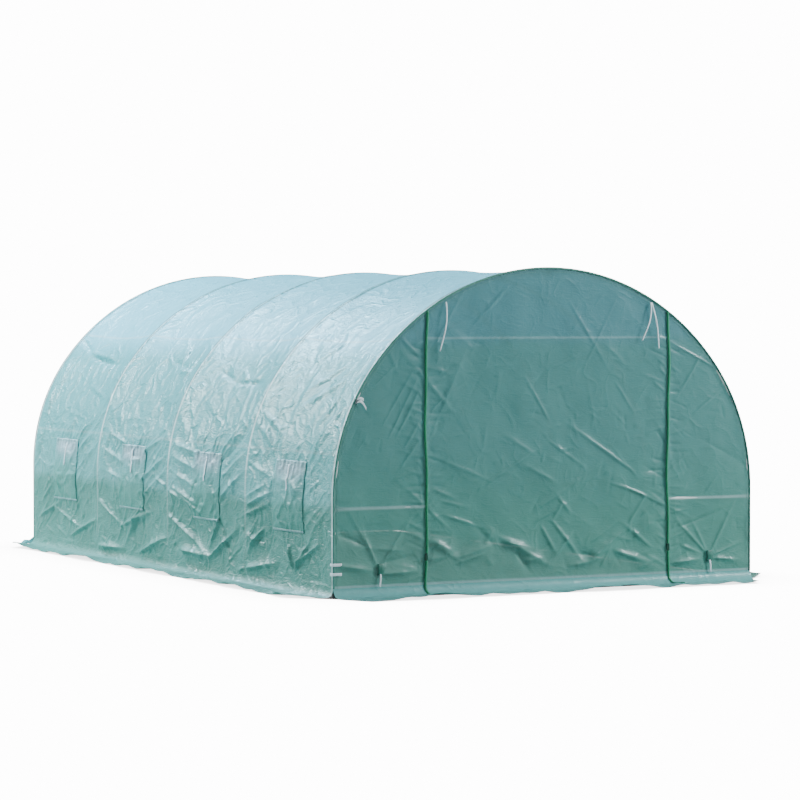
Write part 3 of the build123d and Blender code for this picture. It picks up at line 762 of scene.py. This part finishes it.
def end_creases(seed, zipped):
    """Folds of an end: fans from the tabs, puckers at the zips and long soft folds over the door."""
    draw = np.random.default_rng(seed)
    folds = []
    for *ends, width, height in long_door_folds if zipped else ():
        folds.append((*ends, width / 1000, height / 1000, 0.4))
    for side in (-1, 1) if zipped else ():
        for z in np.arange(0.12, 1.6, 0.055):
            for way in (-1, 1):
                length = draw.uniform(0.05, 0.2)
                rise_by = draw.uniform(-0.06, 0.12)
                start = side * zip_x + way * 0.018
                height = draw.choice([-1, 1]) * draw.uniform(0.002, 0.006)
                folds.append((start, z, start + way * length, z + rise_by, 0.01, height, 0.6))
    for count, reach, heights, leans, lengths, widths, depths in (
        (8, 0.8, (0.1, 0.95), (0.5, 1.25), (0.25, 0.75), (0.01, 0.02), (0.005, 0.012)),
        (12, 1.3, (0.25, 1.6), (0.3, 1.2), (0.2, 0.6), (0.006, 0.01), (0.003, 0.007)),
    ):
        for _ in range(count):
            x, z = draw.uniform(-reach, reach), draw.uniform(*heights)
            angle = draw.choice([-1, 1]) * draw.uniform(*leans)
            length = draw.uniform(*lengths)
            end = (x + length * math.sin(angle), z + length * math.cos(angle))
            folds.append((x, z, *end, draw.uniform(*widths), draw.uniform(*depths), 0.3))
    for _ in range(16):
        x, z = draw.uniform(-1.4, 1.4), draw.uniform(0.09, 0.34)
        angle = draw.choice([-1, 1]) * draw.uniform(0.4, 1.5)
        length = draw.uniform(0.12, 0.42)
        end = (x + length * math.sin(angle), z + length * math.cos(angle) * 0.6)
        height = draw.choice([-1, 1, 1]) * draw.uniform(0.006, 0.014)
        folds.append((x, z, *end, draw.uniform(0.016, 0.04), height, 0.3))
    for _ in range(10):
        x, z = draw.uniform(-1.2, 1.2), draw.uniform(0.9, 1.75)
        angle = draw.normal(0, 0.9)
        length = draw.uniform(0.2, 0.7)
        end = (x + length * math.sin(angle), z + length * math.cos(angle))
        folds.append((x, z, *end, draw.uniform(0.012, 0.03), draw.uniform(-0.005, 0.007), 0.3))
    for _ in range(200):
        x, z = draw.uniform(-1.48, 1.48), draw.uniform(0.06, 1.5) ** 1.2
        angle = draw.uniform(-1.5, 1.5)
        length = draw.uniform(0.05, 0.22)
        height = draw.choice([-1, 1]) * draw.uniform(0.001, 0.003)
        end = (x + length * math.sin(angle), z + length * math.cos(angle))
        folds.append((x, z, *end, draw.uniform(0.007, 0.015), height, 0.3))
    return folds


def end_push(x, z, folds, top):
    """Distance that an end panel stands out, none at the arch, the foot and the zips."""
    held = np.clip((top - z) / 0.08, 0, 1) * np.clip((z - foot_height) / 0.05, 0, 1)
    side_held = np.clip((half_width - np.abs(x)) / 0.05, 0, 1)
    zip_gap = np.abs(np.abs(x) - zip_x)
    zip_held = 1 - 0.9 * np.exp(-((zip_gap / 0.02) ** 2))
    belly = 0.012 * np.sin(math.pi * np.clip(z / 1.9, 0, 1)) * np.cos(math.pi * x / (2 * half_width)) ** 2
    swell = soft_waves(x, z, 17, 0.0016)
    return (crease_field(x, z, folds) + swell - belly) * held * side_held * zip_held


def end_panel(name, low_x, high_x, end, folds, finish, spacing):
    """Part of an end between two places across the tunnel."""
    columns = round((high_x - low_x) / spacing) + 1
    rows = round((ridge_height - foot_height) / spacing) + 1
    x, share = np.meshgrid(np.linspace(low_x, high_x, columns), np.linspace(0, 1, rows))
    top = arch_height(x)
    z = foot_height + share * (top - foot_height)
    push = end_push(x, z, folds, top)
    y = np.full(x.shape, end * (half_length - 0.001)) + end * push
    bar = stripe(z, rail_height + tube_radius, 0.009) * (np.abs(x) > zip_x)
    seam = stripe(z, door_seam_height, 0.007) * (np.abs(x) < zip_x)
    hem = stripe(z, foot_height + 0.006, 0.009)
    backing = np.maximum(np.maximum(0.6 * bar, 0.3 * seam), 0.7 * hem)
    return sheet_mesh(name, np.stack([x, y, z], -1), np.stack([x, z], -1), finish, backing, end > 0)


front_folds = end_creases(31, True)
back_folds = end_creases(47, False)
panel_spans = {
    "front_left_panel": (-half_width, -zip_x),
    "front_door_panel": (-zip_x, zip_x),
    "front_right_panel": (zip_x, half_width),
}
for node_name, (low_x, high_x) in panel_spans.items():
    panel = end_panel(f"{node_name}_film", low_x, high_x, -1, front_folds, shaded_end_film, 0.0078)
    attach(panel, "root")
    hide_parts(node_name)

back = end_panel("back_panel_film", -half_width, half_width, 1, back_folds, shaded_back_film, 0.016)
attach(back, "root")
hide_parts("back_panel")


# %% [markdown]
# The end skirts lie on the ground like the side ones, with mitred corners and a ragged edge.


# %% End skirts
def end_skirt(name, end, seed, spare, wrap):
    """Ground skirt of one end, with spare length outwards and a wrap round the two corners."""
    places = np.linspace(-half_width, half_width, 240)
    run, x = np.meshgrid(np.linspace(-skirt_run, 0, 30), places, indexing="ij")
    lift, edge = skirt_waves(run, x, seed)
    out, z, out_side, out_up = side_outline(run - edge * (run < -bend_run))
    mitre = np.clip(-run - bend_run * 0.6, 0, None)
    shift = (out - half_width) * (1 + spare / skirt_reach) + half_length
    y = end * (shift + lift * out_side)
    level = np.maximum(z + lift * out_up, 0.0005)
    reach = 1 + (wrap * np.clip(-run / bend_run, 0, 1) - 0.6 * mitre) / half_width
    points = np.stack([x * reach, y, level], -1)
    return sheet_mesh(name, points, np.stack([x, run], -1), skirt_film, None, end > 0)


for end_name, end, spare, wrap in (("front", -1, 0.06, 0.0), ("back", 1, 0.0, 0.11)):
    skirt = end_skirt(f"{end_name}_skirt_film", end, 70 + end, spare, wrap)
    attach(skirt, "root")
    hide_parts(f"{end_name}_skirt")
    print(skirt.name, len(skirt.data.polygons), "faces")

# %% [markdown]
# A row of small blocks along a path makes zip teeth and stitches. Geometry Nodes place them evenly,
# whatever the path's length, and the sizes are inputs of the tree.


# %% Blocks along a path
def block_row_tree():
    """Geometry Nodes tree that sets blocks along a path, with its sizes and finish as inputs."""
    tree = bpy.data.node_groups.new("blocks_along_path", "GeometryNodeTree")
    tree.interface.new_socket("Path", in_out="INPUT", socket_type="NodeSocketGeometry")
    for name in ("Pitch", "Block width", "Block length"):
        tree.interface.new_socket(name, in_out="INPUT", socket_type="NodeSocketFloat")
    tree.interface.new_socket("Finish", in_out="INPUT", socket_type="NodeSocketMaterial")
    tree.interface.new_socket("Blocks", in_out="OUTPUT", socket_type="NodeSocketGeometry")
    start = add_node(tree, "NodeGroupInput")
    curve = add_node(tree, "GeometryNodeMeshToCurve", {"Mesh": start.outputs["Path"]})
    spots = add_node(
        tree,
        "GeometryNodeCurveToPoints",
        {"Curve": curve.outputs[0], "Length": start.outputs["Pitch"]},
        mode="LENGTH",
    )
    width, length = start.outputs["Block width"], start.outputs["Block length"]
    size = add_node(tree, "ShaderNodeCombineXYZ", {"X": width, "Y": width, "Z": length})
    block = add_node(tree, "GeometryNodeMeshCube", {"Size": size.outputs[0]})
    row = add_node(
        tree,
        "GeometryNodeInstanceOnPoints",
        {
            "Points": spots.outputs["Points"],
            "Instance": block.outputs[0],
            "Rotation": spots.outputs["Rotation"],
        },
    )
    real = add_node(tree, "GeometryNodeRealizeInstances", {"Geometry": row.outputs[0]})
    dressed = add_node(
        tree, "GeometryNodeSetMaterial", {"Geometry": real.outputs[0], "Material": start.outputs["Finish"]}
    )
    add_node(tree, "NodeGroupOutput", {"Blocks": dressed.outputs[0]})
    return tree


block_tree = block_row_tree()
block_sockets = [item for item in block_tree.interface.items_tree if item.in_out == "INPUT"]
socket_ids = {item.name: item.identifier for item in block_sockets}


def block_row(name, paths, pitch, width, length, finish):
    """Mesh of blocks along one or more paths of points."""
    data = bpy.data.meshes.new(f"{name}_paths")
    points, edges = [], []
    for path in paths:
        first = len(points)
        points += [tuple(point) for point in path]
        edges += [(first + step, first + step + 1) for step in range(len(path) - 1)]
    data.from_pydata(points, edges, [])
    guide = new_piece(f"{name}_guide", data)
    modifier = guide.modifiers.new("blocks", "NODES")
    modifier.node_group = block_tree
    sizes = {"Pitch": pitch, "Block width": width, "Block length": length, "Finish": finish}
    for label, value in sizes.items():
        modifier[socket_ids[label]] = value
    graph = bpy.context.evaluated_depsgraph_get()
    made = bpy.data.meshes.new_from_object(guide.evaluated_get(graph))
    bpy.data.objects.remove(guide)
    made.name = name
    piece = new_piece(name, made)
    print(name, len(made.polygons), "faces")
    return piece


# %% [markdown]
# Each zip is a green woven tape with a row of moulded teeth down its middle. It runs from the arch to
# the foot and on over the skirt, and it wanders a little, as a sewn tape does.

# %% Zips
zip_half = 0.0085
zip_stand = 0.004
tooth_pitch = 0.006
tooth_width = 0.005
tooth_length = 0.0035
tape_thickness = 0.0014


def zip_line(side):
    """Points down the middle of one zip, from the arch to the skirt."""
    top = float(arch_height(zip_x))
    z = np.linspace(top - 0.004, foot_height + 0.002, 150)
    x = side * zip_x + zip_wander(z, side)
    upright = np.stack([x, np.full(z.shape, -half_length - zip_stand), z], -1)
    run = -np.linspace(0.01, skirt_run * 0.75, 16)
    out, low_z, out_side, out_up = side_outline(run)
    y = -(out - half_width + half_length) - zip_stand * out_side
    drift = x[-1] + 0.03 * (-run / skirt_run) ** 2
    low_z = low_z + 0.016 * (-run / skirt_run) + zip_stand * out_up
    return np.concatenate([upright, np.stack([drift, y, low_z], -1)])


def thicken(piece, thickness):
    """Gives a sheet a thickness, half to each side."""
    thick = piece.modifiers.new("thickness", "SOLIDIFY")
    thick.thickness = thickness
    thick.offset = 0
    return piece


def ribbon(name, line, width_way, half, finish):
    """Flat tape along a line of points, with a thickness."""
    way = np.asarray(width_way, float)
    offsets = np.array([-half, -half * 0.35, half * 0.35, half])
    points = line[:, None, :] + offsets[None, :, None] * (way if way.ndim == 1 else way[:, None, :])
    steps = np.linalg.norm(np.diff(line, axis=0), axis=1)
    along = np.concatenate([[0], np.cumsum(steps)])
    cut = np.stack(np.broadcast_arrays(offsets[None, :], along[:, None]), -1)
    return thicken(sheet_mesh(name, points, cut, finish), tape_thickness)


def joined(name, pieces):
    """One piece from several, with their modifiers applied."""
    graph = bpy.context.evaluated_depsgraph_get()
    whole = bmesh.new()
    finish = pieces[0].data.materials[0]
    for piece in pieces:
        part = bpy.data.meshes.new_from_object(piece.evaluated_get(graph))
        whole.from_mesh(part)
        bpy.data.objects.remove(piece)
    data = bpy.data.meshes.new(name)
    whole.to_mesh(data)
    whole.free()
    data.materials.append(finish)
    data.shade_smooth()
    return new_piece(name, data)


zip_lines = {side: zip_line(side) for side in (-1, 1)}
zip_ribbons = []
for side, line in zip_lines.items():
    zip_ribbons.append(ribbon(f"zip{side}", line, (1, 0, 0), zip_half, zip_tape))
zips = joined("front_zip_tapes", zip_ribbons)
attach(zips, "root")
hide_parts("front_zips")
tooth_lines = [line + np.array([0, -0.0015, 0]) for line in zip_lines.values()]
teeth = block_row("front_zip_teeth", tooth_lines, tooth_pitch, tooth_width, tooth_length, tooth_nylon)
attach(teeth, "root")

# %% [markdown]
# The edge where an end meets the cover is bound with a folded strip. It shows as a pale or dark line
# along the arch, depending on the light.

# %% Bound edges
binding_radius = 0.007
stitch_pitch = 0.012
stitch_width = 0.0014
stitch_length = 0.007


def arch_path(inset, y, count=120):
    """Points along the whole arch from foot to foot, that far inside the outline."""
    run = np.linspace(0, side_run, count)
    x, z, out_x, out_z = side_outline(run)
    x, z = x - inset * out_x, z - inset * out_z
    half = np.stack([x, np.full(run.shape, y), z], -1)
    other = half[::-1][1:] * np.array([-1, 1, 1])
    return np.concatenate([half, other])


def bound_edge(name, y):
    """Round bead along one arch."""
    curve = bpy.data.curves.new(name, "CURVE")
    curve.dimensions = "3D"
    curve.bevel_depth = binding_radius
    curve.bevel_resolution = 2
    line = arch_path(binding_radius * 0.6, y)
    spline = curve.splines.new("POLY")
    spline.points.add(len(line) - 1)
    for point, place in zip(spline.points, line):
        point.co = (*place, 1)
    curve.materials.append(edge_binding)
    guide = new_piece(f"{name}_guide", curve)
    graph = bpy.context.evaluated_depsgraph_get()
    data = bpy.data.meshes.new_from_object(guide.evaluated_get(graph))
    data.name = name
    data.shade_smooth()
    bpy.data.objects.remove(guide)
    return new_piece(name, data)


for end_name, end in (("front", -1), ("back", 1)):
    bead = bound_edge(f"{end_name}_bound_edge", end * (half_length - 0.002))
    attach(bead, "root")
    path = arch_path(0.028, end * (half_length + 0.0012), 400)
    stitch_size = (stitch_pitch, stitch_width, stitch_length)
    stitches = block_row(f"{end_name}_edge_stitches", [path], *stitch_size, green_thread)
    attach(stitches, "root")

# %% [markdown]
# Each window is a net sewn over a hole, with a flap that hangs over it from its top edge. The flap is
# gathered at the top, bulges a little and has a thick hem along its foot. A white tape to tie it up
# hangs from the top seam.

# %% Windows
net_margin = 0.02
net_top_gap = 0.012
hem_height = 0.013
flap_tape_half = 0.009
flap_thickness = 0.0012
hem_thickness = 0.003
net_low_run = window_low.z - foot_height - net_margin
net_high_run = flap_head_run - net_top_gap


def side_push(run, place, side):
    """Distance that the film of one side stands out, for what is sewn to it."""
    side_name = "left" if side < 0 else "right"
    return film_push(run, place, side_folds[side_name], side_seeds[side_name])


def window_net(y, side):
    """Net over one window hole, on the inner face of the film."""
    reach = window_half + net_margin
    upward, along = np.linspace(net_low_run, net_high_run, 30), np.linspace(y - reach, y + reach, 30)
    run, place = np.meshgrid(upward, along, indexing="ij")
    points = place_side(run, place, side_push(run, place, side) - 0.003, side)
    return sheet_mesh("net", points, np.stack([place, run], -1), net_mesh, None, side < 0)


def flap_points(y, side, seed, run_range, stand, columns, rows):
    """Grid of one flap. It lies on the film at its sides and top, and bulges in the middle."""
    draw = np.random.default_rng(seed)
    run, place = np.meshgrid(
        np.linspace(*run_range, rows), np.linspace(y - flap_half, y + flap_half, columns), indexing="ij"
    )
    up = (run - flap_foot_run) / (flap_head_run - flap_foot_run)
    aside = (place - y) / flap_half
    bulge = 0.012 * np.sin(math.pi * np.clip(up, 0, 1)) * (1 - aside**2)
    pleat_turn = place * 2 * math.pi / 0.05 + draw.uniform(0, 6)
    pleats = 0.005 * (1 + np.sin(pleat_turn)) * np.exp(-(1 - up) / 0.15)
    folds = []
    for _ in range(26):
        low = flap_foot_run + draw.uniform(0.0, 0.4)
        at = y + draw.uniform(-0.9, 0.9) * flap_half
        lean = draw.uniform(-0.2, 0.2)
        height = draw.choice([-1, 1]) * draw.uniform(0.003, 0.009)
        folds.append((low, at, low + draw.uniform(-0.05, 0.15), at + lean, 0.012, height, 0.3))
    ground = side_push(run, place, side)
    loose = (bulge + pleats + crease_field(run, place, folds)) * np.clip((1 - np.abs(aside)) * 6, 0, 1)
    return place_side(run, place, ground + np.maximum(loose, 0) + stand, side), run, place


def window_flap(y, side, seed):
    """Flap over one window."""
    points, run, place = flap_points(y, side, seed, (flap_foot_run, flap_head_run), 0.003, 46, 46)
    backing = 0.72 * np.exp(-(((flap_head_run - 0.05 - run) / 0.06) ** 2))
    backing *= 1 - ((place - y) / flap_half) ** 4
    # Painted shade along the flap's edge nearer the door, where it stands off the film.
    edge_gap = place - (y - flap_half)
    shade = 0.6 * np.exp(-((edge_gap / 0.012) ** 2))
    cut = np.stack([place, run], -1)
    flap = sheet_mesh("flap", points, cut, flap_film, backing, side < 0, None, shade)
    return thicken(flap, flap_thickness)


def flap_hem(y, side, seed):
    """Doubled hem along the foot of one flap."""
    low = flap_foot_run - 0.002
    points, run, place = flap_points(y, side, seed, (low, low + hem_height), 0.005, 46, 4)
    cut, backing = np.stack([place, run], -1), np.full(run.shape, 0.3)
    return thicken(sheet_mesh("hem", points, cut, flap_film, backing, side < 0), hem_thickness)


def hanging_tape(y, side, seed):
    """White tape that hangs over one flap from its top seam, on the flap's own folds."""
    run_range = (flap_head_run - 0.19, flap_head_run - 0.03)
    points = flap_points(y, side, seed, run_range, 0.007, 9, 18)[0]
    return ribbon("tape", points[:, 4], (0, 1, 0), flap_tape_half, white_tape)


for side_name, side in sides.items():
    nets = joined(f"{side_name}_net_panels", [window_net(y, side) for y in window_ys])
    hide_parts(f"{side_name}_window_nets")
    flaps, ties = [], []
    for number, y in enumerate(window_ys):
        seed = 90 + number + 10 * side
        flaps += [window_flap(y, side, seed), flap_hem(y, side, seed)]
        ties.append(hanging_tape(y, side, seed))
    flaps = joined(f"{side_name}_flap_films", flaps)
    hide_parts(f"{side_name}_window_flaps")
    tapes = joined(f"{side_name}_flap_tapes", ties)
    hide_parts(f"{side_name}_window_tapes")
    for piece in (nets, flaps, tapes):
        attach(piece, "root")
        print(piece.name, len(piece.data.polygons), "faces")

# %% [markdown]
# White tapes hang from the arch over the door, to tie it when it is rolled up, and two green tabs near
# the ground tie the end down. Short white straps hold the film round the near hoop.

# %% Door tapes, tabs and straps
tape_low, tape_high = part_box("door_tapes")
tape_x = (abs(tape_low.x) + tape_high.x) / 2 + 0.02
tape_stand = half_length + 0.01
door_tape_half = 0.0045
strap_half = 0.009


def door_tape(top_x, top_z, end_x, end_z):
    """White tape from one place on the arch down over the end."""
    share = np.linspace(0, 1, 24)
    x = top_x + (end_x - top_x) * share**1.3 + 0.008 * np.sin(share * 4.2)
    z = top_z + (end_z - top_z) * share
    y = -(tape_stand + 0.012 * np.sin(math.pi * share))
    return ribbon("door_tape", np.stack([x, y, z], -1), (1, 0, 0), door_tape_half, white_tape)


tape_top = float(arch_height(tape_x)) - 0.03
left_tape = door_tape(-tape_x, tape_top, -tape_x - 0.035, tape_top - 0.3)
right_tape = door_tape(tape_x, tape_top, tape_x - 0.055, tape_top - 0.24)
far_tape = door_tape(tape_x + 0.008, tape_top, tape_x + 0.07, tape_top - 0.29)
door_tapes = joined("door_tie_tapes", [left_tape, right_tape, far_tape])
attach(door_tapes, "root")
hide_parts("door_tapes")


def tab_piece(side):
    """Doubled green tab with its tape, tied down to the foot of the end."""
    x = side * tab_x
    share = np.linspace(0, 1, 10)
    z = tab_height + 0.012 - 0.07 * share
    y = -(half_length + 0.006 + 0.006 * np.sin(math.pi * share))
    line = np.stack([np.full(10, x), y, z], -1)
    return ribbon("tab", line, (1, 0, 0), 0.022, tab_film)


def tab_tape(side):
    """White tape from a tab to the foot of the end."""
    x = side * tab_x
    share = np.linspace(0, 1, 12)
    z = tab_height - 0.05 - (tab_height - 0.05 - foot_height) * share
    y = -(half_length + 0.009 + 0.004 * np.sin(math.pi * share))
    line = np.stack([x + side * 0.006 * share, y, z], -1)
    return ribbon("tab_tape", line, (1, 0, 0), 0.006, white_tape)


tabs = joined("front_tie_tabs", [tab_piece(side) for side in (-1, 1)])
tab_tapes = joined("front_tab_tapes", [tab_tape(side) for side in (-1, 1)])
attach(tabs, "root")
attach(tab_tapes, "root")
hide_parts("front_anchor_tabs")


def corner_strap(z, reach):
    """White strap round the near upright edge of the door end."""
    corner_x, corner_y = -half_width - 0.006, -half_length - 0.006
    share = np.linspace(0, 1, 9)
    front = np.stack([corner_x + reach * (1 - share), np.full(9, corner_y), np.full(9, z)], -1)
    round_side = np.stack([np.full(9, corner_x), corner_y + reach * 0.6 * share, np.full(9, z)], -1)
    line = np.concatenate([front, round_side[1:]])
    return ribbon("strap", line, (0, 0, 1), strap_half, white_tape)


def knot_tail(z, drop, way):
    """Tail of a knotted strap at the edge of the arch."""
    half_arch = arch_path(0, 0)[:120]
    x_edge = -float(np.interp(z, half_arch[:, 2], half_arch[:, 0]))
    share = np.linspace(0, 1, 10)
    x = x_edge + 0.01 + way * 0.07 * share
    heights = z - drop * share**2 + 0.015 * np.sin(math.pi * share)
    y = np.full(10, -half_length - 0.012)
    return ribbon("knot", np.stack([x, y, heights], -1), (0, 0, 1), strap_half, white_tape)


strap_pieces = [corner_strap(height, 0.06) for height in (0.205, 0.148)]
strap_pieces += [knot_tail(1.18, 0.04, 1), knot_tail(1.185, -0.01, 0.7)]
straps = joined("corner_straps", strap_pieces)
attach(straps, "root")
